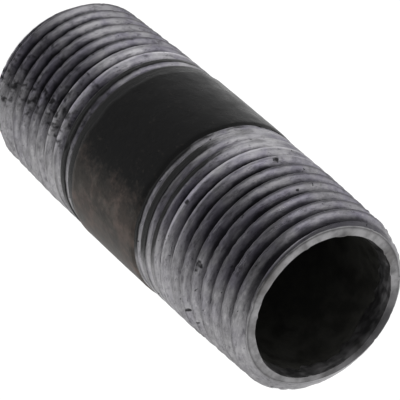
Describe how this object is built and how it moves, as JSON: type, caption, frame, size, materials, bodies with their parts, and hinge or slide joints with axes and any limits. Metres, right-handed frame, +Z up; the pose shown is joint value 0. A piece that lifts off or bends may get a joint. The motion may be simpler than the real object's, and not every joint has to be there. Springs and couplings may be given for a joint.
{
  "type": "threaded pipe nipple",
  "caption": "Short straight steel pipe nipple with a tapered pipe thread on each end, a coated plain barrel between them and an open bore.",
  "frame": {"origin": "centre of the lower end face", "axes": "+Z up the pipe's axis; +X and +Y are any two directions square to it"},
  "size_m": [0.0214, 0.0214, 0.0508],
  "materials": {
    "threaded_steel": "oily cut steel, darker in the thread roots",
    "black_varnish": "semi-gloss black varnish over mill scale, browned in patches",
    "bore_film": "dull black"
  },
  "bodies": {
    "root": {"pipe_body": "threaded_steel", "barrel_coating": "black_varnish", "bore_coating": "bore_film"}
  },
  "joints": []
}
